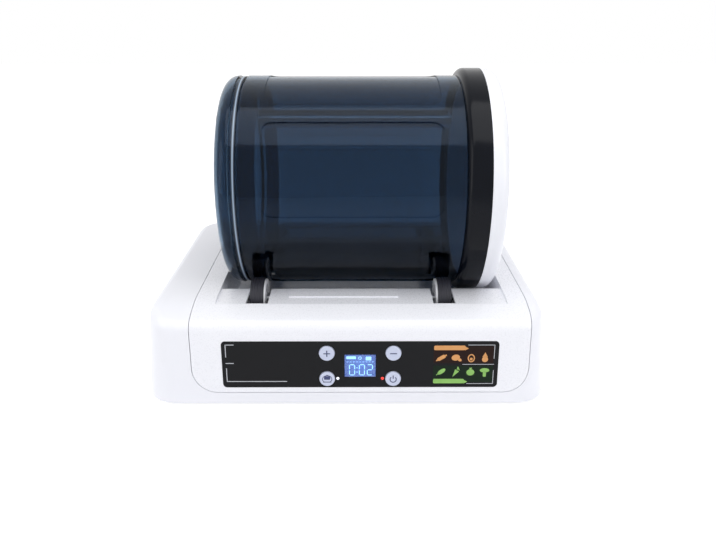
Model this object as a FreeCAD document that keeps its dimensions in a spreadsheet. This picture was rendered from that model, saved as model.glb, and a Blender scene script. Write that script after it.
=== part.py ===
"""Meat vacuum tumbler: a tinted drum turned by rubber rollers on a white base with a control panel.

Millimetres, +Z up, the panel faces -Y and the drum's lid faces +X. The origin is the middle of the
footprint on the table. Drum pieces are drawn about the drum's own axis and then placed on it.
"""
import FreeCAD, Part
import math
import os
import re

import Sketcher

document = FreeCAD.newDocument("Tumbler")
sheet = document.addObject("Spreadsheet::Sheet", "Sizes")

SIZES = [
    # Base housing
    ("base_width", 366, "footprint, left to right"),
    ("base_depth", 280, "footprint, front to back"),
    ("base_top", 88.5, "height of the flat top"),
    ("base_lift", 3, "gap under the housing"),
    ("draft_angle", 4, "lean of every side wall, degrees"),
    ("plan_round", 30, "corner radius seen from above"),
    ("top_round", 11, "radius round the top edge"),
    ("crown_length", 52, "from the front edge to where the top starts to fall"),
    ("crown_radius", 110, "radius of that fall"),
    ("wall", 2.6, "moulded wall of the base"),
    # Inner console
    ("console_side", 19, "console left of the cradle"),
    ("console_margin", 19.6, "housing right of the console"),
    ("console_rear", 22, "housing behind the console"),
    ("console_bottom", 13.6, "lower edge over the table"),
    ("console_round", 23, "its corner radius"),
    ("parting_gap", 0.6, "line between console and housing"),
    # Cradle
    ("cap_room", 3.5, "room left of the drum's end cap"),
    ("lid_room", 5, "room right of the drum's lid"),
    ("cradle_rim", 2.5, "crest in front of and behind the roller slots"),
    ("cradle_drop", 2.5, "flat shelves under the top"),
    ("cradle_gap", 5, "room round the drum's collar"),
    ("trough_depth", 28.5, "lowest part of the trough under the top"),
    ("cradle_lean", 10, "lean of the end walls, degrees"),
    ("pad_left", 57, "raised shelf pad, left of the drum's middle"),
    ("pad_right", 44, "raised shelf pad, right of the drum's middle"),
    ("pad_height", 1.2, "how far the pad stands up"),
    ("pad_inset", 16, "pad behind the cradle's front crest"),
    # Drum
    ("drum_offset", 4, "drum's middle, right of the base's middle"),
    ("drum_turn", 40, "turn of the drum at rest, degrees"),
    ("barrel_radius", 101, "outside of the barrel"),
    ("barrel_wall", 3, "wall of the barrel"),
    ("barrel_left", 96.5, "left end from the drum's middle"),
    ("barrel_right", 100.6, "where the barrel enters the collar"),
    ("barrel_entry", 11.4, "length inside the collar"),
    ("window_rim", 19.5, "barrel beside a window panel"),
    ("window_width", 83, "straight width of a window panel"),
    ("window_round", 9, "its corner radius"),
    ("window_depth", 1.2, "how far it is let in"),
    ("window_count", 6, "panels round the barrel"),
    ("rib_height", 15, "mixing rib"),
    ("notch_width", 8, "grip notch in the end cap"),
    ("notch_reach", 9, "how far it comes in from the cap's rim"),
    ("notch_start", 1.5, "from the end face to the notch"),
    ("notch_depth", 4, "how deep it is cut"),
    ("rib_thick", 5, "mixing rib at its crest"),
    ("rib_count", 3, "mixing ribs"),
    ("cap_width", 13.5, "end cap from its seam to its outer face"),
    ("cap_round", 13, "its shoulder radius"),
    ("spigot_length", 14, "part of the cap inside the barrel"),
    ("seam_gap", 3, "groove on either side of the light seam ring"),
    ("ring_width", 3, "light seam ring"),
    ("push_fit", 0.1, "gap of pieces pushed together"),
    ("collar_step", 7, "mouth collar and lid over the barrel"),
    ("collar_width", 20.7, "mouth collar"),
    ("collar_round", 6.7, "its left edge radius"),
    ("mouth_step", 2, "mouth inside the barrel's bore"),
    ("lug_height", 3.2, "bayonet lug over the lid's plug"),
    ("lug_width", 10, "bayonet lug"),
    ("lug_thick", 3.9, "bayonet lug along the axis"),
    ("lug_count", 4, "bayonet lugs"),
    ("lock_angle", 30, "turn from locked to open, degrees"),
    ("lip_thick", 3, "collar lip outside the bayonet groove"),
    ("lid_gap", 0.3, "between collar and lid"),
    ("lid_thick", 15.4, "lid outside the collar"),
    ("lid_round", 9.5, "its outer edge radius"),
    ("plug_gap", 0.6, "between the mouth and the lid's plug"),
    ("plug_depth", 13.6, "length of the lid's plug"),
    ("lid_rim", 28, "flat rim round the lid's dish"),
    ("dish_depth", 6, "hollow in the lid's face"),
    ("dish_slope", 4, "how far the hollow's side leans in"),
    ("grip_width", 18, "grip bar across the hollow"),
    ("grip_start", 6, "from the valve knob to the bar"),
    ("grip_end", 16, "from the bar to the hollow's rim"),
    ("grip_round", 5, "the bar's corner radius"),
    ("seal_inset", 2, "lid seal outside the mouth"),
    ("seal_width", 6, "lid seal"),
    ("seal_depth", 2.4, "groove for the lid seal"),
    ("valve_hole", 7, "hole in the lid for the vacuum valve"),
    ("valve_radius", 12.5, "valve knob"),
    # Rollers
    ("roller_radius", 20, "outside of the tread"),
    ("roller_width", 12.5, "tread"),
    ("roller_inset", 13.6, "rollers inside the mouth collar"),
    ("roller_angle", 38, "rollers from straight below the axis, degrees"),
    ("roller_gap", 0.3, "between tread and barrel"),
    ("tread_thick", 3.5, "rubber tread"),
    ("flange_width", 1.6, "hub flange beside the tread"),
    ("flange_drop", 1.4, "flange under the tread's crests"),
    ("hub_wall", 2.5, "hub under the tread"),
    ("hub_boss", 6.6, "radius of the boss round the shaft"),
    ("shaft_radius", 3, "roller shafts"),
    ("shaft_overhang", 14, "shaft past a roller's middle"),
    ("running_gap", 0.05, "shaft in its bearing"),
    ("bearing_inset", 21, "bearing blocks inside the rollers"),
    ("bearing_width", 10, "bearing block along the shaft"),
    ("bearing_wall", 2.4, "bearing round the bore"),
    ("slot_gap", 4, "room beside a roller in its slot"),
    ("slot_outer", 10.8, "slot past the tread, away from the drum"),
    ("slot_inner", 4.7, "slot past the tread, under the drum"),
    ("block_reach", 8, "bearing block past the shaft"),
    ("ear_length", 20, "bearing block's ear past the shaft"),
    ("ear_start", 7, "where the ear leaves the block"),
    ("ear_screw", 15, "ear's screw past the shaft"),
    ("ear_thick", 5, "bearing block's ear"),
    # Drive
    ("pulley_gap", 9.5, "pulleys left of the cradle"),
    ("pulley_radius", 7.6, "pulley rims"),
    ("pulley_width", 7, "pulleys"),
    ("belt_radius", 1.4, "round belt"),
    ("groove_radius", 5.4, "bottom of the pulley grooves"),
    ("belt_gap", 0.3, "between belt and groove"),
    ("motor_back", 45, "gear motor's shaft behind the drum's axis"),
    ("motor_height", 34, "gear motor's shaft over the table"),
    ("gearbox_radius", 18.5, "gear motor's gearbox"),
    ("gearbox_length", 24, "gear motor's gearbox"),
    ("motor_radius", 15, "gear motor's can"),
    ("motor_length", 33, "gear motor's can"),
    ("bracket_thick", 2, "motor bracket's sheet"),
    ("bracket_reach", 16, "motor bracket's foot"),
    # Vacuum
    ("pump_left", 22, "pump head, right of the middle"),
    ("pump_length", 28, "pump head"),
    ("pump_size", 34, "pump head, across and up"),
    ("pump_lid", 5, "cover plate of the pump head"),
    ("pump_back", 36, "pump's axis behind the drum's axis"),
    ("pump_height", 27, "pump's axis over the table"),
    ("pump_motor_radius", 13.5, "pump motor"),
    ("pump_motor_length", 40, "pump motor"),
    ("hose_radius", 3, "inner suction hose"),
    ("nipple_radius", 3, "suction port"),
    ("nipple_length", 10.5, "suction port outside its flange"),
    ("port_recess", 13, "depth of the round recess that the port stands in"),
    ("recess_radius", 11, "that recess"),
    ("port_right", 118, "suction port, right of the middle"),
    ("port_height", 42, "rear sockets over the table"),
    ("inlet_right", 80, "power inlet, right of the middle"),
    ("inlet_bore", 3.2, "power inlet's socket"),
    # Control panel, in its own frame on the sloping front
    ("panel_shift", 0.45, "label's middle, left of the console's"),
    ("panel_rise", 27.4, "label's middle over the console's lower edge"),
    ("label_width", 245, "label"),
    ("label_height", 44.6, "label"),
    ("label_round", 3.5, "label's corner radius"),
    ("label_thick", 0.8, "label"),
    ("label_proud", 0.1, "label over the wall"),
    ("button_radius", 6.9, "button caps"),
    ("button_gap", 0.35, "round a button cap"),
    ("button_proud", 1.6, "button caps over the label"),
    ("button_travel", 0.8, "button travel"),
    ("switch_height", 2.8, "switch under each button"),
    ("button_flange", 1, "button's stop flange past its cap"),
    ("button_column", 29.4, "buttons from the label's middle"),
    ("upper_inset", 11.1, "upper buttons under the label's top edge"),
    ("lower_inset", 8.7, "lower buttons over its bottom edge"),
    ("light_inset", 9.5, "indicator lights inside the buttons"),
    ("light_radius", 1.3, "indicator lights"),
    ("screen_width", 27.6, "display window"),
    ("screen_height", 21.6, "display window"),
    ("screen_drop", 1.3, "display window under the label's middle"),
    ("pane_thick", 1.2, "display window"),
    ("board_depth", 10, "display board behind the wall's outer face"),
    ("board_thick", 1.6, "circuit boards"),
    ("board_half_width", 46, "half the display board"),
    ("board_half_height", 21, "half the display board"),
    # Tray, feet and fixings
    ("tray_gap", 0.4, "between tray and housing"),
    ("tray_rim", 12, "top of the tray's rim over the table"),
    ("rim_wall", 2, "tray's rim"),
    ("post_radius", 4, "screw posts"),
    ("boss_height", 14, "tray bosses over the table"),
    ("pilot_depth", 14, "pilot holes for the case screws"),
    ("screw_radius", 1.5, "case screws"),
    ("screw_head", 2.8, "case screw heads"),
    ("left_post", 25, "left housing posts from the left edge"),
    ("left_post_end", 42, "left housing posts from the front and rear edges"),
    ("right_post", 12.5, "right housing posts from the right edge"),
    ("right_post_end", 80, "right housing posts from the front and rear edges"),
    ("rear_post", 13, "rear housing posts from the rear edge"),
    ("rear_post_left", 60, "left one of them, left of the middle"),
    ("rear_post_right", 40, "right one of them, right of the middle"),
    ("console_post", 9.2, "console posts inside the console's sides"),
    ("console_post_end", 36, "console posts from the front and rear edges"),
    ("foot_radius", 9, "rubber feet"),
    ("foot_inset", 1.2, "how far a foot is let into the tray"),
    ("foot_side", 33, "feet from the left and right edges"),
    ("foot_end", 28, "feet from the front and rear edges"),
    ("vent_width", 4, "vent slots in the tray"),
    ("vent_pitch", 9, "from one vent slot to the next"),
    ("vent_length", 60, "vent slots"),
    ("vent_left", 63, "first vent slot from the left edge"),
    ("main_board_left", 95, "main board's left edge from the right edge"),
    ("main_board_width", 64, "main board, left to right"),
    ("main_board_depth", 90, "main board, front to back"),
    ("main_board_front", 60, "its front edge in front of the middle"),
    ("standoff_height", 6, "main board over the tray"),
]

# What follows from those sizes
FOLLOWS = {
    "crown_start": "base_depth / 2 - crown_length",
    "collar_radius": "barrel_radius + collar_step",
    "trough_radius": "collar_radius + cradle_gap",
    "axis_height": "base_top - trough_depth + trough_radius",
    "axle_reach": "barrel_radius + roller_gap + roller_radius",
    "axle_back": "axle_reach * sin(roller_angle)",
    "axle_height": "axis_height - axle_reach * cos(roller_angle)",
    "roller_spread": "barrel_right - roller_inset",
    "bearing_spread": "roller_spread - bearing_inset",
    "slot_front": "axle_back + roller_radius + slot_outer",
    "slot_back": "axle_back - roller_radius - slot_inner",
    "cradle_floor": "base_top - cradle_drop",
    "cradle_reach": "slot_front + cradle_rim",
    "pad_reach": "cradle_reach - pad_inset",
    "ring_left": "barrel_left + seam_gap + ring_width",
    "cap_seam": "ring_left + seam_gap",
    "cap_end": "cap_seam + cap_width",
    "window_left": "barrel_left - window_rim",
    "window_right": "barrel_right - window_rim",
    "mouth_radius": "barrel_radius - barrel_wall - mouth_step",
    "lid_back": "barrel_right + collar_width + lid_gap",
    "lid_face": "lid_back + lid_thick",
    "dish_radius": "collar_radius - lid_rim",
    "seal_inner": "mouth_radius + seal_inset",
    "seal_outer": "seal_inner + seal_width",
    "cradle_left": "cap_end + cap_room",
    "cradle_right": "lid_face + lid_room",
    "console_left": "cradle_left - drum_offset + console_side",
    "console_right": "base_width / 2 - console_margin",
    "console_back": "base_depth / 2 - console_rear",
    "pulley_plane": "cradle_left + pulley_gap",
    "panel_right": "(console_right - console_left) / 2 - panel_shift",
    "panel_height": "console_bottom + panel_rise",
    "button_upper": "label_height / 2 - upper_inset",
    "button_lower": "label_height / 2 - lower_inset",
    "light_column": "button_column - light_inset",
}

ALIASES = set()
for row, (alias, value, note) in enumerate(SIZES, start=1):
    sheet.set(f"A{row}", note)
    sheet.set(f"B{row}", str(value))
    sheet.setAlias(f"B{row}", alias)
    ALIASES.add(alias)
document.recompute()


# ---------------------------------------------------------------- helpers
def spell(word):
    """How one name of a rule is written for the sheet."""
    name = word.group()
    if name in FOLLOWS:
        return "(" + rule(FOLLOWS[name]) + ")"
    return "Sizes." + name if name in ALIASES else name


def rule(text):
    """An expression on the sheet, from one written with the names above."""
    return re.sub(r"[a-z]+(?:_[a-z]+)*", spell, str(text))


def amount(text):
    """The present value of a rule."""
    return float(sheet.evalExpression(rule(text)))


def bind(thing, **rules):
    """Tie properties to rules; a double underscore stands for a dot."""
    for name, text in rules.items():
        thing.setExpression(name.replace("__", "."), rule(text))
    return thing


def add(kind, name, **rules):
    return bind(document.addObject(kind, name), **rules)


def place(thing, x="0", y="0", z="0", axis=None, angle=None):
    """Bind an object's place, and its turn about one axis."""
    if axis is not None:
        thing.Placement = FreeCAD.Placement(FreeCAD.Vector(), FreeCAD.Rotation(axis, 1))
        bind(thing, Placement__Rotation__Angle=angle)
    return bind(thing, Placement__Base__x=x, Placement__Base__y=y, Placement__Base__z=z)


X_AXIS = FreeCAD.Vector(1, 0, 0)
Y_AXIS = FreeCAD.Vector(0, 1, 0)


def box(name, low, size):
    return place(add("Part::Box", name, Length=size[0], Width=size[1], Height=size[2]), *low)


def rod(name, start, radius, length, along="z"):
    """A cylinder from its start along +X, +Y or +Z."""
    cylinder = add("Part::Cylinder", name, Radius=radius, Height=length)
    if along == "x":
        return place(cylinder, *start, axis=Y_AXIS, angle="90")
    if along == "y":
        return place(cylinder, *start, axis=X_AXIS, angle="-90")
    return place(cylinder, *start)


def fuse(name, *pieces):
    union = document.addObject("Part::MultiFuse", name)
    union.Shapes = list(pieces)
    return union


def cut(name, base, *tools):
    result = document.addObject("Part::Cut", name)
    result.Base = base
    result.Tool = tools[0] if len(tools) == 1 else fuse(name + "_tools", *tools)
    return result


def common(name, *pieces):
    shared = document.addObject("Part::MultiCommon", name)
    shared.Shapes = list(pieces)
    return shared


def group(name, pieces):
    compound = document.addObject("Part::Compound", name)
    compound.Links = list(pieces)
    return compound


def new_body(name):
    return document.addObject("PartDesign::Body", name)


def origin_feature(body, role):
    return next(item for item in body.Origin.OriginFeatures if item.Role == role)


def sketch_on(body, plane, offset=None):
    sketch = body.newObject("Sketcher::SketchObject", body.Name + "_sketch")
    sketch.AttachmentSupport = (origin_feature(body, plane), "")
    sketch.MapMode = "FlatFace"
    if offset is not None:
        bind(sketch, AttachmentOffset__Base__z=offset)
    return sketch


def fix_point(sketch, edge, end, across=None, up=None):
    """Hold a point of a sketch at rules for its two coordinates."""
    for kind, text in (("DistanceX", across), ("DistanceY", up)):
        if text is not None:
            index = sketch.addConstraint(Sketcher.Constraint(kind, -1, 1, edge, end, amount(text)))
            sketch.setExpression(f"Constraints[{index}]", rule(text))


def outline(body, plane, corners, offset=None):
    """A closed sketch of straight lines through corners given as rules."""
    sketch = sketch_on(body, plane, offset)
    spots = [FreeCAD.Vector(amount(across), amount(up), 0) for across, up in corners]
    count = len(corners)
    for index in range(count):
        sketch.addGeometry(Part.LineSegment(spots[index], spots[(index + 1) % count]), False)
    for index in range(count):
        sketch.addConstraint(Sketcher.Constraint("Coincident", index, 2, (index + 1) % count, 1))
    for index, (across, up) in enumerate(corners):
        fix_point(sketch, index, 1, across, up)
    return sketch


def rounded_outline(body, plane, low, high, radius, offset=None):
    """A closed sketch of a rectangle with rounded corners."""
    sketch = sketch_on(body, plane, offset)
    left, bottom, right, top = (amount(text) for text in (low[0], low[1], high[0], high[1]))
    turn = amount(radius)
    point = FreeCAD.Vector
    sides = [((left + turn, bottom), (right - turn, bottom)),
             ((right, bottom + turn), (right, top - turn)),
             ((right - turn, top), (left + turn, top)), ((left, top - turn), (left, bottom + turn))]
    for start, end in sides:
        sketch.addGeometry(Part.LineSegment(point(*start, 0), point(*end, 0)), False)
    centres = [(right - turn, bottom + turn), (right - turn, top - turn),
               (left + turn, top - turn), (left + turn, bottom + turn)]
    for index, centre in enumerate(centres):
        circle = Part.Circle(point(*centre, 0), point(0, 0, 1), turn)
        begin = (index - 1) * math.pi / 2
        sketch.addGeometry(Part.ArcOfCircle(circle, begin, begin + math.pi / 2), False)
    for index in range(4):
        kind = "Horizontal" if index % 2 == 0 else "Vertical"
        sketch.addConstraint(Sketcher.Constraint(kind, index))
        sketch.addConstraint(Sketcher.Constraint("Tangent", index, 2, 4 + index, 1))
        sketch.addConstraint(Sketcher.Constraint("Tangent", 4 + index, 2, (index + 1) % 4, 1))
    for index in range(3):
        sketch.addConstraint(Sketcher.Constraint("Equal", 4, 5 + index))
    bend = sketch.addConstraint(Sketcher.Constraint("Radius", 4, turn))
    sketch.setExpression(f"Constraints[{bend}]", rule(radius))
    fix_point(sketch, 0, 1, up=low[1])
    fix_point(sketch, 1, 1, across=high[0])
    fix_point(sketch, 2, 1, up=high[1])
    fix_point(sketch, 3, 1, across=low[0])
    return sketch


def pad(body, sketch, length, both_ways=False, lean=None, backwards=False):
    feature = body.newObject("PartDesign::Pad", body.Name + "_pad")
    feature.Profile = sketch
    feature.Midplane = both_ways
    feature.Reversed = backwards
    bind(feature, Length=length)
    if lean is not None:
        bind(feature, TaperAngle=lean)
    return feature


def pocket(body, sketch, depth, both_ways=False, backwards=False):
    feature = body.newObject("PartDesign::Pocket", body.Name + "_pocket")
    feature.Profile = sketch
    feature.Midplane = both_ways
    feature.Reversed = backwards
    bind(feature, Length=depth)
    return feature


def revolve(body, corners):
    """Turn a closed profile, drawn as (along X, radius), about the X axis."""
    sketch = outline(body, "XZ_Plane", corners)
    feature = body.newObject("PartDesign::Revolution", body.Name + "_turned")
    feature.Profile = sketch
    feature.ReferenceAxis = (sketch, ["H_Axis"])
    feature.Angle = 360
    return feature


def repeat(body, feature, count):
    """Copy a feature evenly round the X axis."""
    pattern = body.newObject("PartDesign::PolarPattern", body.Name + "_pattern")
    pattern.Originals = [feature]
    pattern.Axis = (origin_feature(body, "X_Axis"), [""])
    pattern.Angle = 360
    bind(pattern, Occurrences=count)
    body.Tip = pattern
    return pattern


def round_edges(body, radius, wanted):
    """Fillet the edges of the body's last feature that the test wanted(edge) picks."""
    document.recompute()
    last = body.Tip
    names = [f"Edge{index}" for index, edge in enumerate(last.Shape.Edges, start=1) if wanted(edge)]
    feature = body.newObject("PartDesign::Fillet", body.Name + "_fillet")
    feature.Base = (last, names)
    bind(feature, Radius=radius)
    return feature


def ring_at(along, radius):
    """A test for the circular edge of a turned piece at a place and a radius."""
    place_x = amount(along)
    size = amount(radius)

    def test(edge):
        curve = edge.Curve
        return (isinstance(curve, Part.Circle) and abs(curve.Radius - size) < 0.01
                and abs(curve.Center.x - place_x) < 0.01)
    return test


NODES = {}


def node(name, thing):
    thing.Label = name
    NODES[name] = thing
    return thing


def drum_node(name, thing):
    """A piece drawn about the drum's axis, put on that axis."""
    place(thing, "drum_offset", "0", "axis_height", axis=X_AXIS, angle="drum_turn")
    return node(name, thing)


def on_panel(*things):
    """Put what is drawn in the panel's own frame (+Y inwards, +Z up the face) onto the sloping front."""
    slope = "tan(draft_angle)"
    holder = group(things[0].Name + "_on_panel", things)
    return place(holder, "panel_right", f"(panel_height - base_lift) * {slope} - base_depth / 2",
                 "panel_height", axis=X_AXIS, angle="-draft_angle")


# ---------------------------------------------------------------- base housing and console
def crown_outline(body, inset):
    """Side view of what is cleared over the top, flat behind and falling in an arc towards the front."""
    sketch = sketch_on(body, "YZ_Plane")
    front = "-base_depth"
    back = "base_depth"
    high = "base_top * 2"
    top = amount(f"base_top - {inset}")
    centre = FreeCAD.Vector(-amount("crown_start"), amount("base_top - crown_radius"), 0)
    radius = top - centre.y
    end_angle = math.pi / 2 + 0.8
    circle = Part.Circle(centre, FreeCAD.Vector(0, 0, 1), radius)
    end = centre + FreeCAD.Vector(math.cos(end_angle), math.sin(end_angle), 0) * radius
    corners = [FreeCAD.Vector(end.x, amount(high), 0), FreeCAD.Vector(amount(back), amount(high), 0),
               FreeCAD.Vector(amount(back), top, 0)]
    sketch.addGeometry(Part.ArcOfCircle(circle, math.pi / 2, end_angle), False)
    path = [end] + corners + [FreeCAD.Vector(centre.x, top, 0)]
    for start, stop in zip(path, path[1:]):
        sketch.addGeometry(Part.LineSegment(start, stop), False)
    for first, second in ((0, 1), (1, 2), (2, 3), (3, 4)):
        sketch.addConstraint(Sketcher.Constraint("Coincident", first, 2, second, 1))
    sketch.addConstraint(Sketcher.Constraint("Coincident", 4, 2, 0, 1))
    for index, kind in ((1, "Vertical"), (2, "Horizontal"), (3, "Vertical")):
        sketch.addConstraint(Sketcher.Constraint(kind, index))
    fix_point(sketch, 0, 3, "-crown_start", "base_top - crown_radius")
    fix_point(sketch, 0, 1, "-crown_start", f"base_top - {inset}")
    fix_point(sketch, 0, 2, across="-crown_start - crown_radius * sin(45)")
    fix_point(sketch, 2, 2, back, high)
    fix_point(sketch, 4, 1, up=f"base_top - {inset}")
    return sketch


def case_form(name, inset, bottom):
    """The base as one solid lump, its faces pulled in by inset."""
    body = new_body(name)
    across = f"(base_width / 2 - {inset})"
    along = f"(base_depth / 2 - {inset})"
    plan = outline(body, "XY_Plane", [(f"-{across}", f"-{along}"), (across, f"-{along}"),
                                      (across, along), (f"-{across}", along)], offset=bottom)
    pad(body, plan, "base_top + 20", lean="-draft_angle")
    pocket(body, crown_outline(body, inset), "base_width * 2", both_ways=True)
    round_edges(body, f"plan_round - {inset}",
                lambda edge: edge.Length > 30 and abs(edge.tangentAt(edge.FirstParameter).z) > 0.9)
    top = amount(f"base_top - {inset}")
    seam = -amount("crown_start")

    def on_rim(edge):
        limits = edge.BoundBox
        return limits.ZMin > top - 25 and not (limits.YLength < 0.01 and abs(limits.YMin - seam) < 0.01)
    round_edges(body, f"top_round - {inset}", on_rim)
    return body


def console_area(name, grow):
    """The space that the console takes of the base: its front, and its top as far as the rear edge."""
    body = new_body(name)
    left = f"-console_left - {grow}"
    right = f"console_right + {grow}"
    low = f"console_bottom - {grow}"
    front = outline(body, "XZ_Plane", [(left, low), (right, low), (right, "base_top * 2"),
                                       (left, "base_top * 2")])
    pad(body, front, "base_depth")
    back = f"console_back + {grow}"
    top = outline(body, "XY_Plane", [(left, "-1"), (right, "-1"), (right, back), (left, back)],
                  offset="base_top / 2")
    pad(body, top, "base_top")
    low_z = amount(low)
    back_y = amount(back)

    def is_corner(edge):
        limits = edge.BoundBox
        front_corner = limits.YLength > 30 and abs(limits.ZMax - low_z) < 0.01 and limits.ZLength < 0.01
        back_corner = limits.ZLength > 30 and abs(limits.YMin - back_y) < 0.01 and limits.YLength < 0.01
        return (front_corner or back_corner) and limits.XLength < 0.01
    round_edges(body, f"console_round + {grow}", is_corner)
    return body


def cradle_space(name, grow):
    """What the cradle hollows out of the console: a round trough between two flat shelves."""
    trough = rod(name + "_trough", ("-base_width / 2", "0", "axis_height"),
                 f"trough_radius + {grow}", "base_width", along="x")
    shelf = box(name + "_shelf",
                ("-base_width / 2", f"-cradle_reach - {grow}", f"cradle_floor - {grow}"),
                ("base_width", f"(cradle_reach + {grow}) * 2", "base_top"))
    ends = new_body(name + "_ends")
    lean = "tan(cradle_lean)"
    deep = "(base_top - trough_depth)"
    rise = f"(base_top * 2 - {deep}) * {lean}"
    left = f"drum_offset - cradle_left - {grow}"
    right = f"drum_offset + cradle_right + {grow}"
    slant = f"(base_top - {deep}) * {lean}"
    side = outline(ends, "XZ_Plane", [
        (f"{left} + {slant}", f"{deep} - {grow} - 1"), (f"{right} - {slant}", f"{deep} - {grow} - 1"),
        (f"{right} + {rise} - {slant}", "base_top * 2"), (f"{left} - {rise} + {slant}", "base_top * 2")])
    pad(ends, side, "base_depth", both_ways=True)
    return common(name, fuse(name + "_room", trough, shelf), ends)


SIDES = {"front": "-1", "rear": "1"}
ENDS = {"left": "-1", "right": "1"}


def roller_slots():
    """Four slots in the cradle, wider on the inner side, where the hub's flange runs."""
    slots = []
    for side, sign in SIDES.items():
        for end, hand in ENDS.items():
            inner = "(roller_width / 2 + flange_width + slot_gap)"
            outer = "(roller_width / 2 + slot_gap / 2)"
            low_x = f"{hand} * roller_spread - " + (outer if end == "left" else inner)
            low_y = "-slot_front" if side == "front" else "slot_back"
            slots.append(box(f"slot_{side}_{end}", (f"drum_offset + {low_x}", low_y, "base_top / 3"),
                             (f"{inner} + {outer}", "slot_front - slot_back", "base_top")))
    return slots


def screw_posts(name, spots, form):
    """Posts from the tray's bosses up to the top wall, trimmed to the inside of the form."""
    posts = [rod(f"{name}_{index}", (x, y, "boss_height"), "post_radius", "base_top - boss_height")
             for index, (x, y) in enumerate(spots)]
    return common(name + "_trimmed", fuse(name, *posts), form)


HOUSING_SPOTS = [("left_post - base_width / 2", "left_post_end - base_depth / 2"),
                 ("left_post - base_width / 2", "base_depth / 2 - left_post_end"),
                 ("base_width / 2 - right_post", "right_post_end - base_depth / 2"),
                 ("base_width / 2 - right_post", "base_depth / 2 - right_post_end"),
                 ("-rear_post_left", "base_depth / 2 - rear_post"),
                 ("rear_post_right", "base_depth / 2 - rear_post")]
CONSOLE_SPOTS = [(x, y) for x in ("console_post - console_left", "console_right - console_post")
                 for y in ("console_post_end - base_depth / 2", "base_depth / 2 - console_post_end")]


def panel_holes(name):
    """Openings through the wall behind the label, in the panel's frame."""
    holes = [rod(f"{name}_{index}", (x, "-1", z), "button_radius + button_gap", "wall + 6", along="y")
             for index, (x, z) in enumerate(BUTTON_SPOTS.values())]
    holes += [rod(f"{name}_light_{index}", (x, "-1", "-button_lower"), "light_radius + 0.1", "wall + 6",
                  along="y") for index, x in enumerate(("-light_column", "light_column"))]
    holes.append(box(f"{name}_screen", ("-screen_width / 2", "-1", "-screen_drop - screen_height / 2"),
                     ("screen_width", "wall + 6", "screen_height")))
    return on_panel(*holes)


BUTTON_SPOTS = {
    "plus_button": ("-button_column", "button_upper"),
    "minus_button": ("button_column", "button_upper"),
    "vacuum_button": ("-button_column", "-button_lower"),
    "power_button": ("button_column", "-button_lower"),
}


def label_blank(name, grow, front, back):
    body = new_body(name)
    across = f"(label_width / 2 + {grow})"
    up = f"(label_height / 2 + {grow})"
    face = rounded_outline(body, "XZ_Plane", (f"-{across}", f"-{up}"), (across, up),
                           f"label_round + {grow}", offset=front)
    pad(body, face, f"{back} + {front}", backwards=True)
    return body


def board_pillars():
    """Square pillars behind the panel that the display board rests against."""
    pillars = [box(f"pillar_{index}", (f"{x} * board_half_width * 0.9 - 3", "wall - 0.2",
                                       f"{z} * board_half_height * 0.8 - 3"),
                   ("6", "board_depth - wall + 0.2", "6"))
               for index, (x, z) in enumerate((("-1", "-1"), ("1", "-1"), ("-1", "1"), ("1", "1")))]
    return on_panel(*pillars)


def build_base():
    outer = case_form("outer_form", "0", "base_lift")
    inner = case_form("inner_form", "wall", "base_lift - 1")
    shell = cut("case_shell", outer, inner)
    half_gap = "parting_gap / 2"

    posts = screw_posts("housing_post", HOUSING_SPOTS, outer)
    cup_start = ("port_right", "base_depth / 2 - port_recess - wall", "port_height")
    cup = common("port_cup", rod("cup_outside", cup_start, "recess_radius + wall", "port_recess * 2",
                                 along="y"), outer)
    rear_holes = [rod("cup_inside", ("port_right", "base_depth / 2 - port_recess", "port_height"),
                      "recess_radius", "port_recess * 2", along="y"),
                  rod("port_hole", ("port_right", "base_depth / 2 - 30", "port_height"),
                      "nipple_radius + 2", "40", along="y"),
                  box("inlet_hole", ("inlet_right - 6.05", "base_depth / 2 - 30", "port_height - 6.05"),
                      ("12.1", "40", "12.1"))]
    housing = cut("housing_raw", fuse("housing_blank", shell, posts, cup),
                  console_area("housing_opening", half_gap), *rear_holes)
    pilots = [rod(f"housing_pilot_{index}", (x, y, "boss_height - 1"), "screw_radius + running_gap",
                  "pilot_depth") for index, (x, y) in enumerate(HOUSING_SPOTS)]
    node("outer_housing", cut("housing_cut", housing, *pilots))

    console = common("console_lump", outer, console_area("console_form", f"(0 - {half_gap})"))
    hollow = cut("console_hollow", inner, cradle_space("cradle_wall", "wall"))
    raised = box("shelf_pad", ("drum_offset - pad_left", "-pad_reach", "cradle_floor - wall"),
                 ("pad_left + pad_right", "pad_reach - axle_back", "wall + pad_height"))
    dished = fuse("console_dished", cut("console_top", console, cradle_space("cradle", "0")), raised)
    skin = cut("console_skin", dished, hollow)
    posts = common("console_posts", screw_posts("console_post", CONSOLE_SPOTS, outer),
                   console_area("post_area", "(0 - wall)"))
    holes = [rod(f"console_pilot_{index}", (x, y, "boss_height - 1"), "screw_radius + running_gap",
                 "pilot_depth") for index, (x, y) in enumerate(CONSOLE_SPOTS)]
    recess = on_panel(label_blank("label_recess", "0.15", "1", "label_thick - label_proud"))
    blank = fuse("console_blank", skin, posts, board_pillars())
    node("console_cover", cut("console_cut", blank, *holes, *roller_slots(), recess,
                              panel_holes("panel_hole")))


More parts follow.
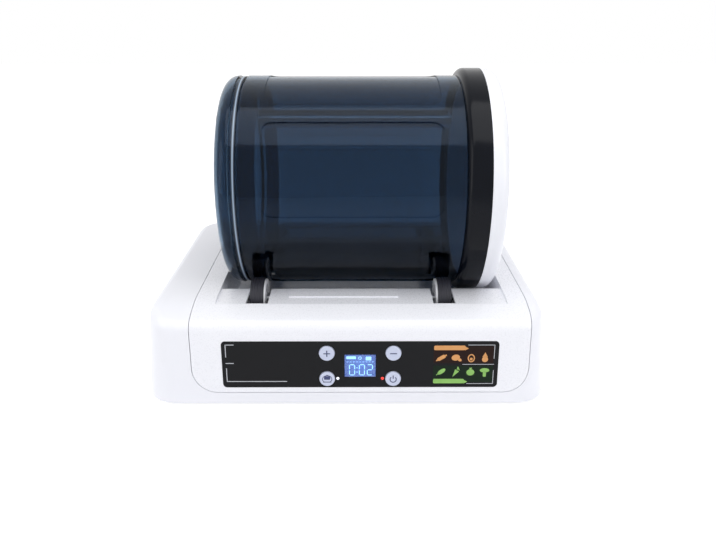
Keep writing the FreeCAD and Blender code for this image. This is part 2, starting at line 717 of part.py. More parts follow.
def build_tray():
    """Bottom tray with a rim, bosses for the case screws, seats for the feet and vents."""
    body = new_body("tray_body")
    across = "(base_width / 2 - wall - tray_gap)"
    along = "(base_depth / 2 - wall - tray_gap)"
    corner = "(plan_round - wall - tray_gap)"
    plan = rounded_outline(body, "XY_Plane", (f"-{across}", f"-{along}"), (across, along), corner,
                           offset="base_lift")
    pad(body, plan, "tray_rim - base_lift", lean="-draft_angle")
    hollow = rounded_outline(body, "XY_Plane", (f"-{across} + rim_wall", f"-{along} + rim_wall"),
                             (f"{across} - rim_wall", f"{along} - rim_wall"), f"{corner} - rim_wall",
                             offset="base_lift + wall")
    well = body.newObject("PartDesign::Pocket", "tray_well")
    well.Profile = hollow
    well.Reversed = True
    bind(well, Length="tray_rim")
    spots = HOUSING_SPOTS + CONSOLE_SPOTS
    bosses = [rod(f"tray_boss_{index}", (x, y, "base_lift"), "post_radius + 1",
                  "boss_height - base_lift") for index, (x, y) in enumerate(spots)]
    heads = [rod(f"tray_head_{index}", (x, y, "0"), "screw_head + 0.3", "base_lift + 5")
             for index, (x, y) in enumerate(spots)]
    shanks = [rod(f"tray_shank_{index}", (x, y, "0"), "screw_radius + 0.2", "boss_height + 1")
              for index, (x, y) in enumerate(spots)]
    seats = [rod(f"foot_seat_{index}", (x, y, "0"), "foot_radius + 0.3", "base_lift + foot_inset")
             for index, (x, y) in enumerate(FOOT_SPOTS)]
    vents = [box(f"vent_{index}",
                 (f"vent_left - base_width / 2 + {index} * vent_pitch", "-vent_length / 2", "0"),
                 ("vent_width", "vent_length", "base_lift + wall + 1")) for index in range(6)]
    node("base_tray", cut("tray_cut", fuse("tray_blank", body, *bosses),
                          *heads, *shanks, *seats, *vents))

    feet = [rod(f"foot_{index}", (x, y, "0"), "foot_radius", "base_lift + foot_inset")
            for index, (x, y) in enumerate(FOOT_SPOTS)]
    node("rubber_feet", group("feet", feet))
    screws = [fuse(f"case_screw_{index}",
                   rod(f"screw_head_{index}", (x, y, "base_lift + 3"), "screw_head", "2"),
                   rod(f"screw_shank_{index}", (x, y, "base_lift + 4"), "screw_radius",
                       "boss_height + 6"))
              for index, (x, y) in enumerate(spots)]
    node("case_screws", group("screws", screws))


FOOT_SPOTS = [(x, y) for x in ("foot_side - base_width / 2", "base_width / 2 - foot_side")
              for y in ("foot_end - base_depth / 2", "base_depth / 2 - foot_end")]

build_base()
build_tray()


# ---------------------------------------------------------------- drum
def build_barrel():
    """Tube with six shallow window panels outside and three mixing ribs inside."""
    body = new_body("barrel_body")
    bore = "(barrel_radius - barrel_wall)"
    end = "(barrel_right + barrel_entry)"
    revolve(body, [("-barrel_left", bore), (end, bore), (end, "barrel_radius"),
                   ("-barrel_left", "barrel_radius")])
    half = "rib_thick / 2"
    rib = outline(body, "YZ_Plane", [
        (f"-{half} - 2", f"{bore} + 1"), (f"-{half}", f"{bore} - rib_height"),
        (half, f"{bore} - rib_height"), (f"{half} + 2", f"{bore} + 1")],
        offset="2 - barrel_left + spigot_length")
    ribs = pad(body, rib, "barrel_left + barrel_right - spigot_length - plug_depth")
    repeat(body, ribs, "rib_count")

    blocks = new_body("window_blocks")
    panel = rounded_outline(blocks, "XZ_Plane", ("-window_left", "-window_width / 2"),
                            ("window_right", "window_width / 2"), "window_round")
    repeat(blocks, pad(blocks, panel, "barrel_radius + 2"), "window_count")
    start = ("-barrel_left", "0", "0")
    band = cut("window_band",
               rod("band_outside", start, "barrel_radius + 1", "barrel_left * 2", along="x"),
               rod("band_inside", start, "barrel_radius - window_depth", "barrel_left * 2", along="x"))
    drum_node("drum_barrel", cut("barrel", body, common("window_panels", blocks, band)))


def build_cap():
    """Left end: rounded cap whose spigot sits in the barrel, and the light ring in the seam."""
    body = new_body("drum_cap")
    spigot = "(barrel_radius - barrel_wall - push_fit)"
    bore = f"({spigot} - barrel_wall)"
    inside = "(barrel_wall - cap_end)"
    revolve(body, [("-cap_end", "0"), ("-cap_end", "barrel_radius"), ("-cap_seam", "barrel_radius"),
                   ("-cap_seam", spigot), ("spigot_length - barrel_left", spigot),
                   ("spigot_length - barrel_left", bore), (inside, bore), (inside, "0")])
    shoulder = "min(cap_round; cap_width - 0.3)"
    round_edges(body, shoulder, ring_at("-cap_end", "barrel_radius"))
    round_edges(body, f"{shoulder} - barrel_wall", ring_at(inside, bore))
    notch = rounded_outline(body, "YZ_Plane", ("-notch_width / 2", "barrel_radius - notch_reach"),
                            ("notch_width / 2", "barrel_radius + 5"), "notch_width / 4",
                            offset="notch_start - cap_end")
    repeat(body, pocket(body, notch, "notch_depth"), "lug_count")
    drum_node("drum_end_cap", body)

    seam = new_body("seam_ring")
    right = "(ring_width - ring_left)"
    revolve(seam, [("-ring_left", f"{spigot} + push_fit"), (right, f"{spigot} + push_fit"),
                   (right, "barrel_radius - 0.8"), ("-ring_left", "barrel_radius - 0.8")])
    drum_node("end_cap_ring", seam)


def build_collar():
    """Mouth collar pushed over the barrel, with a bayonet groove and four ways in for the lid's lugs."""
    body = new_body("collar_body")
    end = "(barrel_right + collar_width)"
    seat = "(barrel_radius + push_fit)"
    stop = "(barrel_right + barrel_entry + push_fit)"
    groove = "(mouth_radius + lug_height + 0.4)"
    revolve(body, [("barrel_right", seat), ("barrel_right", "collar_radius"), (end, "collar_radius"),
                   (end, "mouth_radius"), (f"{end} - lip_thick", "mouth_radius"),
                   (f"{end} - lip_thick", groove), (f"{end} - lip_thick - lug_thick - 0.9", groove),
                   (f"{end} - lip_thick - lug_thick - 0.9", "mouth_radius"), (stop, "mouth_radius"),
                   (stop, seat)])
    round_edges(body, "min(collar_round; collar_step - push_fit * 3)",
                ring_at("barrel_right", "collar_radius"))
    entry = outline(body, "YZ_Plane", [
        ("-lug_width / 2 - 1.5", "mouth_radius - 3"), ("lug_width / 2 + 1.5", "mouth_radius - 3"),
        ("lug_width / 2 + 1.5", f"{groove} + 0.4"), ("-lug_width / 2 - 1.5", f"{groove} + 0.4")],
        offset=f"{end} + 1")
    repeat(body, pocket(body, entry, "lip_thick + 1.5"), "lug_count")
    drum_node("mouth_collar", body)


def build_lid():
    """Lid with a plug and bayonet lugs inside, a dished face, a grip bar and a seat for the valve."""
    body = new_body("lid_body")
    back = "lid_back"
    face = "lid_face"
    floor = "(lid_face - dish_depth)"
    plug = "(mouth_radius - plug_gap)"
    tip = f"({back} - plug_depth)"
    inner = f"{floor} - barrel_wall"
    revolve(body, [(inner, "valve_hole"), (inner, f"{plug} - barrel_wall"),
                   (tip, f"{plug} - barrel_wall"), (tip, plug), (back, plug), (back, "seal_inner"),
                   (f"{back} + seal_depth", "seal_inner"), (f"{back} + seal_depth", "seal_outer"),
                   (back, "seal_outer"), (back, "collar_radius"), (face, "collar_radius"),
                   (face, "dish_radius"), (floor, "dish_radius - dish_slope"), (floor, "valve_hole")])
    round_edges(body, "lid_round", ring_at(face, "collar_radius"))
    bar = rounded_outline(body, "YZ_Plane", ("-grip_width / 2", "valve_radius + grip_start"),
                          ("grip_width / 2", "dish_radius - grip_end"), "grip_round",
                          offset=f"{floor} - 1")
    repeat(body, pad(body, bar, "dish_depth + 0.5"), "2")
    lug = outline(body, "YZ_Plane", [
        ("-lug_width / 2", f"{plug} - 1"), ("lug_width / 2", f"{plug} - 1"),
        ("lug_width / 2", f"{plug} + plug_gap + lug_height - 0.1"),
        ("-lug_width / 2", f"{plug} + plug_gap + lug_height - 0.1")],
        offset="(barrel_right + collar_width - lip_thick - 0.4 - lug_thick)")
    repeat(body, pad(body, lug, "lug_thick"), "lug_count")
    place(body, "drum_offset", "0", "axis_height", axis=X_AXIS, angle="drum_turn - lock_angle")
    node("drum_lid", body)

    seal = new_body("lid_seal_body")
    front = f"{back} - lid_gap + 0.05"
    seated = f"{back} + seal_depth - 0.05"
    revolve(seal, [(front, "seal_inner + 0.1"), (seated, "seal_inner + 0.1"),
                   (seated, "seal_outer - 0.1"), (front, "seal_outer - 0.1")])
    drum_node("lid_seal", seal)

    plug_piece = new_body("valve_plug_body")
    revolve(plug_piece, [(f"{inner} - 3", "0"), (f"{inner} - 3", "valve_hole - 1"),
                         (inner, "valve_hole - 0.3"), (f"{floor} + 0.1", "valve_hole - 0.3"),
                         (f"{floor} + 0.1", "valve_radius - 2"), (f"{floor} + 2", "valve_radius - 3"),
                         (f"{floor} + 2", "0")])
    drum_node("valve_plug", plug_piece)
    knob = new_body("valve_knob_body")
    top = f"{floor} + dish_depth - 0.5"
    revolve(knob, [(f"{floor} + 2", "0"), (f"{floor} + 2", "valve_radius - 4"),
                   (f"{floor} + 3.5", "valve_radius"), (top, "valve_radius"), (top, "0")])
    round_edges(knob, "1.2", ring_at(top, "valve_radius"))
    drum_node("valve_knob", knob)


# ---------------------------------------------------------------- rollers and their drive
def turned(name, start, corners):
    """A piece turned about an axis along X, its profile given from its start point."""
    body = new_body(name)
    revolve(body, corners)
    return place(body, *start)


def tread_profile():
    """Section of a rubber tread: a flat back, and five low ribs that run round it."""
    half = "(roller_width / 2 - 0.1)"
    valley = "roller_radius - 0.5"
    back = "roller_radius - tread_thick + 0.05"
    profile = [(f"-{half}", back), (half, back), (half, valley)]
    for crest in (0.8, 0.4, 0.0, -0.4, -0.8):
        profile.append((f"{half} * {crest}", "roller_radius"))
        profile.append((f"{half} * {crest - 0.2:.1f}", valley))
    return profile


def build_rollers():
    """Two shafts, each with a rubber-treaded roller at both ends, in four bearing blocks."""
    for side, sign in SIDES.items():
        back = f"{sign} * axle_back"
        left = "roller_spread + shaft_overhang"
        if side == "rear":
            left = "pulley_plane + pulley_width / 2 + 1"
        node(f"{side}_roller_shaft",
             rod(f"{side}_shaft", (f"drum_offset - ({left})", back, "axle_height"), "shaft_radius",
                 f"{left} + roller_spread + shaft_overhang", along="x"))
        for end, hand in ENDS.items():
            spot = (f"drum_offset + {hand} * roller_spread", back, "axle_height")
            hub = "(roller_radius - tread_thick)"
            inner = f"(0 - ({hand}) * (roller_width / 2 + flange_width))"
            middle = f"(0 - ({hand}) * roller_width / 2)"
            outer = f"(({hand}) * roller_width / 2)"
            flange = "(roller_radius - flange_drop)"
            rim = f"({hub} - hub_wall)"
            web = f"{inner} * 0.4"
            corners = [(outer, "shaft_radius"), (outer, hub), (middle, hub), (middle, flange),
                       (inner, flange), (inner, rim), (web, rim), (web, "hub_boss"),
                       (inner, "hub_boss"), (inner, "shaft_radius")]
            node(f"{side}_{end}_hub", turned(f"hub_{side}_{end}", spot, corners))
            node(f"{side}_{end}_tread", turned(f"tread_{side}_{end}", spot, tread_profile()))
            build_bearing(side, end, sign, hand)
    screws = [rod(f"bearing_screw_{side}_{end}",
                  (f"drum_offset + {hand} * bearing_spread", f"{sign} * (axle_back + ear_screw)",
                   "cradle_floor - wall - ear_thick - 3"), "screw_radius", "ear_thick + 2.9")
              for side, sign in SIDES.items() for end, hand in ENDS.items()]
    node("bearing_screws", group("bearing_screw_set", screws))


def build_bearing(side, end, sign, hand):
    """A bearing block screwed up under a cradle shelf, its inner corner following the trough."""
    near = "(axle_back - shaft_radius - bearing_wall)"
    far = "(axle_back + ear_length)"
    low = "(axle_height - shaft_radius - bearing_wall)"
    high = "(cradle_floor - wall)"
    left = f"drum_offset + {hand} * bearing_spread - bearing_width / 2"
    tag = f"{side}_{end}"
    block_start = near if side == "rear" else "-axle_back - block_reach"
    ear_from = "axle_back + ear_start" if side == "rear" else f"-{far}"
    block = box(f"block_{tag}", (left, block_start, low),
                ("bearing_width", "block_reach + shaft_radius + bearing_wall", f"{high} - {low}"))
    ear = box(f"ear_{tag}", (left, ear_from, f"{high} - ear_thick"),
              ("bearing_width", "ear_length - ear_start", "ear_thick"))
    bore = rod(f"bore_{tag}", (left + " - 1", f"{sign} * axle_back", "axle_height"),
               "shaft_radius + running_gap", "bearing_width + 2", along="x")
    trough = rod(f"under_trough_{tag}", (left + " - 1", "0", "axis_height"),
                 "trough_radius + wall + 0.1", "bearing_width + 2", along="x")
    screw_at = (f"drum_offset + {hand} * bearing_spread", f"{sign} * (axle_back + ear_screw)",
                f"{high} - ear_thick - 1")
    screw = rod(f"ear_hole_{tag}", screw_at, "screw_radius + running_gap", "ear_thick + 2")
    blank = fuse(f"bearing_blank_{tag}", block, ear)
    node(f"{tag}_bearing", cut(f"bearing_{tag}", blank, bore, trough, screw))


def pulley_profile():
    half = "(pulley_width / 2)"
    return [(f"-{half}", "shaft_radius"), (half, "shaft_radius"), (half, "pulley_radius"),
            (f"{half} - 0.8", "pulley_radius"), ("belt_radius * 0.75", "groove_radius"),
            ("-belt_radius * 0.75", "groove_radius"), (f"0.8 - {half}", "pulley_radius"),
            (f"-{half}", "pulley_radius")]


def build_drive():
    """Gear motor on a bracket, and a round belt from its pulley up to the rear shaft."""
    plane = "(drum_offset - pulley_plane)"
    node("driven_pulley", turned("shaft_pulley", (plane, "axle_back", "axle_height"), pulley_profile()))
    node("drive_pulley", turned("motor_pulley", (plane, "motor_back", "motor_height"), pulley_profile()))
    shaft_start = f"{plane} - pulley_width / 2 - 1"
    face = f"({plane} + pulley_width / 2 + 6)"
    node("motor_shaft", rod("output_shaft", (shaft_start, "motor_back", "motor_height"), "shaft_radius",
                            f"{face} + bracket_thick - ({shaft_start})", along="x"))

    reach = "(groove_radius + belt_gap + belt_radius)"
    gap_y = "(axle_back - motor_back)"
    gap_z = "(axle_height - motor_height)"
    span = f"sqrt({gap_y} * {gap_y} + {gap_z} * {gap_z})"
    loop = []
    for end, (along, turn) in enumerate((("0", "180"), (span, "0"))):
        bend = add("Part::Torus", f"belt_bend_{end}", Radius1=reach, Radius2="belt_radius", Angle3="180")
        place(bend, "0", along, "0", axis=FreeCAD.Vector(0, 0, 1), angle=turn)
        loop.append(bend)
    for end, side in enumerate(("-1", "1")):
        loop.append(rod(f"belt_run_{end}", (f"{side} * {reach}", "0", "0"), "belt_radius", span,
                        along="y"))
    belt = fuse("belt_loop", *loop)
    stand = add("Part::Compound", "belt_stand")
    stand.Links = [belt]
    stand.Placement = FreeCAD.Placement(FreeCAD.Vector(), FreeCAD.Rotation(Y_AXIS, 90))
    tilt = add("Part::Compound", "belt_tilt")
    tilt.Links = [stand]
    place(tilt, plane, "motor_back", "motor_height", axis=X_AXIS, angle=f"atan({gap_z} / {gap_y})")
    node("drive_belt", tilt)

    gearbox = rod("gearbox", (f"{face} + bracket_thick", "motor_back", "motor_height"), "gearbox_radius",
                  "gearbox_length", along="x")
    can = rod("motor_can", (f"{face} + bracket_thick + gearbox_length", "motor_back", "motor_height"),
              "motor_radius", "motor_length", along="x")
    boss = rod("motor_boss", (f"{face} + bracket_thick + gearbox_length + motor_length", "motor_back",
                              "motor_height"), "motor_radius / 3", "3", along="x")
    hole = rod("motor_bore", (face, "motor_back", "motor_height"), "shaft_radius + running_gap",
               "bracket_thick * 2", along="x")
    node("gear_motor", cut("motor_cut", fuse("motor_blank", gearbox, can, boss), hole))

    floor = "(base_lift + wall)"
    plate = box("bracket_plate", (face, "motor_back - gearbox_radius - 2", floor),
                ("bracket_thick", "gearbox_radius * 2 + 4",
                 "motor_height + gearbox_radius - base_lift - wall"))
    foot = box("bracket_foot", (face, "motor_back - gearbox_radius - 2", floor),
               ("bracket_reach", "gearbox_radius * 2 + 4", "bracket_thick"))
    bore = rod("bracket_bore", (f"{face} - 1", "motor_back", "motor_height"), "shaft_radius + 2",
               "bracket_thick + 2", along="x")
    spots = ["motor_back - gearbox_radius + 4", "motor_back + gearbox_radius - 4"]
    holes = [rod(f"bracket_hole_{index}", (f"{face} + 10", y, "base_lift"),
                 "screw_radius + running_gap", "9") for index, y in enumerate(spots)]
    node("motor_bracket", cut("bracket_cut", fuse("bracket_blank", plate, foot), bore, *holes))
    screws = [fuse(f"motor_screw_{index}",
                   rod(f"motor_screw_shank_{index}", (f"{face} + 10", y, floor), "screw_radius",
                       "bracket_thick + 0.5"),
                   rod(f"motor_screw_head_{index}", (f"{face} + 10", y, f"{floor} + bracket_thick"),
                       "screw_head", "1.8"))
              for index, y in enumerate(spots)]
    node("motor_screws", group("motor_screw_set", screws))


# ---------------------------------------------------------------- vacuum
HOSE_ROUTE = [("pump_left + 40", "pump_back", "port_height"),
              ("pump_left + 60", "pump_back", "port_height"),
              ("port_right - 14", "pump_back + 14", "port_height"),
              ("port_right", "pump_back + 40", "port_height"),
              ("port_right", "base_depth / 2 - port_recess - wall - 3", "port_height")]


def hose_path():
    """Straight runs of the hose joined by tangent arcs, each as large as its two runs allow."""
    spots = [FreeCAD.Vector(*(amount(text) for text in spot)) for spot in HOSE_ROUTE]
    edges = []
    start = spots[0]
    for before, corner, after in zip(spots, spots[1:], spots[2:]):
        inward = (corner - before).normalize()
        outward = (after - corner).normalize()
        turn = inward.getAngle(outward)
        trim = 0.45 * min((corner - before).Length, (after - corner).Length)
        radius = trim / math.tan(turn / 2)
        first = corner - inward * trim
        last = corner + outward * trim
        centre = corner + (outward - inward).normalize() * (radius / math.cos(turn / 2))
        middle = centre + (corner - centre).normalize() * radius
        edges += [Part.LineSegment(start, first).toShape(), Part.Arc(first, middle, last).toShape()]
        start = last
        print(f"hose bend radius {radius:.1f}")
    edges.append(Part.LineSegment(start, spots[-1]).toShape())
    return Part.Wire(edges)


def build_vacuum():
    """Small pump on a cradle, its hose, and the port on the back where the lid's hose plugs on."""
    head = box("pump_head", ("pump_left", "pump_back - pump_size / 2", "pump_height - pump_size / 2"),
               ("pump_length", "pump_size", "pump_size"))
    cap = box("pump_cover", ("pump_left - pump_lid", "pump_back - 15", "pump_height - 15"),
              ("pump_lid", "30", "30"))
    outlet = rod("pump_outlet", ("pump_left + pump_length", "pump_back", "port_height"),
                 "hose_radius - 0.9", "16", along="x")
    elbow = box("pump_manifold", ("pump_left + pump_length - 18", "pump_back - 5", "port_height - 5"),
                ("18", "10", "9"))
    node("vacuum_pump", fuse("pump", head, cap, outlet, elbow))
    can_start = ("pump_left - pump_lid - pump_motor_length", "pump_back", "pump_height")
    node("pump_motor", rod("pump_can", can_start, "pump_motor_radius", "pump_motor_length", along="x"))
    floor = "(base_lift + wall)"
    saddle = box("saddle_block", ("pump_left - 36", "pump_back - 12", floor),
                 ("14", "24", "pump_height - base_lift - wall"))
    base = box("saddle_base", ("pump_left - 42", "pump_back - 20", floor), ("26", "40", "2.5"))
    seat = rod("saddle_seat", ("pump_left - 50", "pump_back", "pump_height"),
               "pump_motor_radius + 0.1", "50", along="x")
    rest = box("saddle_rest", ("pump_left - 20", "pump_back - 14", floor),
               ("44", "28", "pump_height - pump_size / 2 - base_lift - wall"))
    node("pump_mount", cut("saddle_cut", fuse("saddle", saddle, base, rest), seat))

    path = hose_path()
    ring = Part.Wire(Part.makeCircle(amount("hose_radius"), path.OrderedVertexes[0].Point, X_AXIS))
    bore = Part.Wire(Part.makeCircle(amount("hose_radius - 0.8"), path.OrderedVertexes[0].Point, X_AXIS))
    tube = path.makePipeShell([ring], True, False).cut(path.makePipeShell([bore], True, False))
    expected = math.pi * (amount("hose_radius") ** 2 - amount("hose_radius - 0.8") ** 2) * path.Length
    print(f"hose length {path.Length:.1f} volume ratio {tube.Volume / expected:.4f}")
    hose = document.addObject("Part::Feature", "hose")
    hose.Shape = tube
    node("suction_hose", hose)

    stem = "(nipple_radius + 1.9)"
    bore = "(nipple_radius - 1.3)"
    tail = "(hose_radius - 0.9)"
    barb = new_body("port_body")
    revolve(barb, [("-wall - 15", bore), ("nipple_length + 2", bore),
                   ("nipple_length + 2", "nipple_radius"), ("2", "nipple_radius"),
                   ("2", f"{stem} + 3"), ("0", f"{stem} + 3"), ("0", stem),
                   ("-wall", stem), ("-wall", f"{stem} + 2.5"), ("-wall - 2", f"{stem} + 2.5"),
                   ("-wall - 2", tail), ("-wall - 15", tail)])
    place(barb, "port_right", "base_depth / 2 - port_recess", "port_height",
          axis=FreeCAD.Vector(0, 0, 1), angle="90")
    node("suction_port", barb)


# ---------------------------------------------------------------- control panel and electrics
def build_panel():
    """Label, display, four buttons, indicator lights and the board behind them, in the panel's frame."""
    front = "label_proud"
    label = label_blank("label_plate", "0", front, "label_thick - label_proud")
    holes = [rod(f"label_hole_{index}", (x, "-1", z), "button_radius + button_gap", "3", along="y")
             for index, (x, z) in enumerate(BUTTON_SPOTS.values())]
    holes += [rod(f"label_light_{index}", (x, "-1", "-button_lower"), "light_radius + 0.1", "3",
                  along="y") for index, x in enumerate(("-light_column", "light_column"))]
    holes.append(box("label_screen", ("-screen_width / 2", "-1", "-screen_drop - screen_height / 2"),
                     ("screen_width", "3", "screen_height")))
    node("control_label", on_panel(cut("label_cut", label, *holes)))

    pane = box("window_pane", ("0.1 - screen_width / 2", "0", "0.1 - screen_drop - screen_height / 2"),
               ("screen_width - 0.2", "pane_thick", "screen_height - 0.2"))
    node("display_window", on_panel(pane))
    glass = box("lcd_glass", ("0.6 - screen_width / 2", "1.3", "0.6 - screen_drop - screen_height / 2"),
                ("screen_width - 1.2", "2.2", "screen_height - 1.2"))
    frame = box("lcd_frame",
                ("-screen_width / 2 - 1", "wall + 0.8", "-screen_drop - screen_height / 2 - 1"),
                ("screen_width + 2", "board_depth - wall - 0.8", "screen_height + 2"))
    node("display_module", on_panel(fuse("lcd", glass, frame)))

    board = box("display_board_blank", ("-board_half_width", "board_depth", "-board_half_height"),
                ("board_half_width * 2", "board_thick", "board_half_height * 2"))
    node("display_board", on_panel(board))
    switches = [box(f"switch_{name}", (f"{x} - 3", "board_depth - switch_height", f"{z} - 3"),
                    ("6", "switch_height", "6")) for name, (x, z) in BUTTON_SPOTS.items()]
    node("tact_switches", on_panel(*switches))
    lights = [rod(f"light_{index}", (x, "-label_proud", "-button_lower"), "light_radius",
                  "board_depth + label_proud", along="y")
              for index, x in enumerate(("-light_column", "light_column"))]
    node("status_lights", on_panel(*lights))

    for name, (x, z) in BUTTON_SPOTS.items():
        body = new_body(name + "_body")
        tip = "(board_depth - switch_height - button_travel - 0.1)"
        cap = "-button_proud - label_proud"
        revolve(body, [(cap, "0"), (cap, "button_radius"), ("wall + 0.1", "button_radius"),
                       ("wall + 0.1", "button_radius + button_flange"),
                       ("wall + 1.3", "button_radius + button_flange"), ("wall + 1.3", "2"), (tip, "2"),
                       (tip, "0")])
        round_edges(body, "0.7", ring_at(cap, "button_radius"))
        place(body, x, "0", z, axis=FreeCAD.Vector(0, 0, 1), angle="90")
        node(name, on_panel(body))


def build_electrics():
    """Main board with its components on the tray, and the power inlet on the back."""
    floor = "(base_lift + wall)"
    board_x = "(base_width / 2 - main_board_left)"
    board = box("main_board_blank", (board_x, "-main_board_front", f"{floor} + standoff_height"),
                ("main_board_width", "main_board_depth", "board_thick"))
    node("main_board", board)
    posts = [rod(f"standoff_{across}_{along}", (f"{board_x} + {x}", f"{y} - main_board_front", floor),
                 "3", "standoff_height")
             for across, x in enumerate(("5", "main_board_width - 5"))
             for along, y in enumerate(("5", "main_board_depth - 5"))]
    node("board_standoffs", group("standoffs", posts))
    top = f"({floor} + standoff_height + board_thick)"
    parts = [box("relay", (f"{board_x} + 10", "-20", top), ("19", "15", "15")),
             rod("capacitor_large", (f"{board_x} + 44", "-40", top), "6", "18"),
             rod("capacitor_small", (f"{board_x} + 28", "-42", top), "4", "11"),
             box("transformer", (f"{board_x} + 36", "-16", top), ("22", "26", "18")),
             box("connector", (f"{board_x} + 8", "14", top), ("20", "6", "8")),
             box("controller", (f"{board_x} + 10", "-54", top), ("12", "12", "2"))]
    node("board_components", group("component_set", parts))
    inlet = box("inlet_block", ("inlet_right - 6", "base_depth / 2 - 20", "port_height - 6"),
                ("12", "20 - (port_height + 6 - base_lift) * tan(draft_angle)", "12"))
    bore = rod("inlet_socket", ("inlet_right", "base_depth / 2 - 14", "port_height"), "inlet_bore", "20",
               along="y")
    pin = rod("inlet_pin", ("inlet_right", "base_depth / 2 - 15", "port_height"), "1", "9", along="y")
    node("power_inlet", fuse("inlet", cut("inlet_cut", inlet, bore), pin))


build_barrel()
build_cap()
build_collar()
build_lid()
build_rollers()
build_drive()
build_vacuum()
build_panel()
build_electrics()


# ---------------------------------------------------------------- checks and files
def write_parts():
    """Recompute, refuse anything that failed, and write one STEP file for each node."""
    document.recompute()
    broken = [item.Name for item in document.Objects
              if "Invalid" in item.State or "Error" in item.State]
    if broken:
        raise RuntimeError("failed objects: " + ", ".join(broken))
    for name, thing in NODES.items():
        if thing.Shape.isNull() or not thing.Shape.isValid() or not thing.Shape.Solids:
            raise RuntimeError("bad shape: " + name)
    os.makedirs("parts", exist_ok=True)
    for name, thing in NODES.items():
        thing.Shape.exportStep(os.path.join("parts", name + ".step"))
        limits = thing.Shape.BoundBox
        print(f"{name:22s} solids {len(thing.Shape.Solids):2d} "
              f"volume {thing.Shape.Volume / 1000:8.1f} cm3  "
              f"x {limits.XMin:.1f} {limits.XMax:.1f}  y {limits.YMin:.1f} {limits.YMax:.1f}  "
              f"z {limits.ZMin:.1f} {limits.ZMax:.1f}")


write_parts()
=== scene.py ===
"""Meat vacuum tumbler: finishes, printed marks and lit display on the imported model, in metres."""
import math

import bpy
from mathutils import Matrix, Vector


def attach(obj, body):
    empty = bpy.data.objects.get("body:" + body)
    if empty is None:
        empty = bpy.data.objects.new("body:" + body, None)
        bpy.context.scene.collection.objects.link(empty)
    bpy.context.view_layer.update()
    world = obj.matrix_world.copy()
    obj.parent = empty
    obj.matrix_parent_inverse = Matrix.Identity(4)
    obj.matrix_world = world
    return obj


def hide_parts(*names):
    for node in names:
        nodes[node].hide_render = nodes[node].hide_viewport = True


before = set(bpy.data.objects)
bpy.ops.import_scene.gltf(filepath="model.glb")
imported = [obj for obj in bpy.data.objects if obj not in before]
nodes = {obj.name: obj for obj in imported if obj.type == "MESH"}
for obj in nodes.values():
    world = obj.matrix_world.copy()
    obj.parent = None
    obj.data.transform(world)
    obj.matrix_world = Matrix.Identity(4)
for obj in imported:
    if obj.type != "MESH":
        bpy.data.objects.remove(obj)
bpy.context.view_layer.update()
MM = 0.001


# ---------------------------------------------------------------- outer housing
# The white outside of the base, one injection moulding in ABS from a polished tool. It gives an
# even, slightly soft gloss, with the faint waviness of a wide moulded wall.
def colour(code):
    """sRGB hex to the linear colour that a socket takes."""
    parts = [int(code[place:place + 2], 16) / 255 for place in (1, 3, 5)]
    return [part / 12.92 if part < 0.04045 else ((part + 0.055) / 1.055) ** 2.4 for part in parts] + [1]


def add(material, kind, settings, inputs):
    """Adds a node with its settings; an input is a value, or the socket to link to it."""
    made = material.node_tree.nodes.new("ShaderNode" + kind)
    for name, value in settings.items():
        setattr(made, name, value)
    for name, value in inputs.items():
        if isinstance(value, bpy.types.NodeSocket):
            material.node_tree.links.new(value, made.inputs[name])
        else:
            made.inputs[name].default_value = value
    return made


def moulded(name, low, high, rough, patch_mm, grain_mm, depth_mm, shader=None):
    """A moulded finish: colour that drifts between two tones over patch_mm, and a grain of depth_mm."""
    material = bpy.data.materials.new(name)
    material.use_nodes = True
    material.node_tree.nodes.clear()
    place = add(material, "TexCoord", {}, {}).outputs["Object"]
    patch = add(material, "TexNoise", {}, {"Vector": place, "Scale": 1 / (patch_mm * MM), "Detail": 2})
    grain = add(material, "TexNoise", {}, {"Vector": place, "Scale": 1 / (grain_mm * MM), "Detail": 3})
    tone = add(material, "Mix", {"data_type": "RGBA"}, {
        0: patch.outputs["Fac"], 6: colour(low), 7: colour(high)})
    gloss = add(material, "MapRange", {}, {
        "Value": grain.outputs["Fac"], "From Min": 0.3, "From Max": 0.7,
        "To Min": rough * 0.94, "To Max": rough * 1.06})
    relief = add(material, "Bump", {}, {
        "Height": grain.outputs["Fac"], "Strength": 1, "Distance": depth_mm * MM})
    body = add(material, "BsdfPrincipled", {}, {
        "Base Color": tone.outputs[2], "Roughness": gloss.outputs["Result"],
        "Normal": relief.outputs["Normal"], **(shader or {})})
    add(material, "OutputMaterial", {}, {"Surface": body.outputs["BSDF"]})
    return material


def dress(material, *names):
    """Gives CAD nodes their finish."""
    for name in names:
        for slot in nodes[name].material_slots:
            slot.material = material


def shell(node, material, body="base"):
    """A rigid shell's own mesh, merged and shaded round its curves, in place of loose triangles."""
    piece = bpy.data.objects.new(node + "_shell", nodes[node].data.copy())
    bpy.context.scene.collection.objects.link(piece)
    bpy.ops.object.select_all(action="DESELECT")
    piece.select_set(True)
    bpy.context.view_layer.objects.active = piece
    bpy.ops.mesh.customdata_custom_splitnormals_clear()
    bpy.ops.object.mode_set(mode="EDIT")
    bpy.ops.mesh.select_all(action="SELECT")
    bpy.ops.mesh.remove_doubles(threshold=0.000002)
    bpy.ops.object.mode_set(mode="OBJECT")
    bpy.ops.object.shade_smooth_by_angle(angle=math.radians(28))
    weights = piece.modifiers.new("even_curves", "WEIGHTED_NORMAL")
    weights.keep_sharp = True
    bpy.ops.object.modifier_apply(modifier="even_curves")
    piece.data.materials.clear()
    piece.data.materials.append(material)
    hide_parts(node)
    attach(piece, body)
    return piece


white_abs = moulded("White ABS, gloss moulded", "#eeeff6", "#f3f4fa", 0.3, 90, 1.2, 0.002, {"IOR": 1.53})
shell("outer_housing", white_abs)


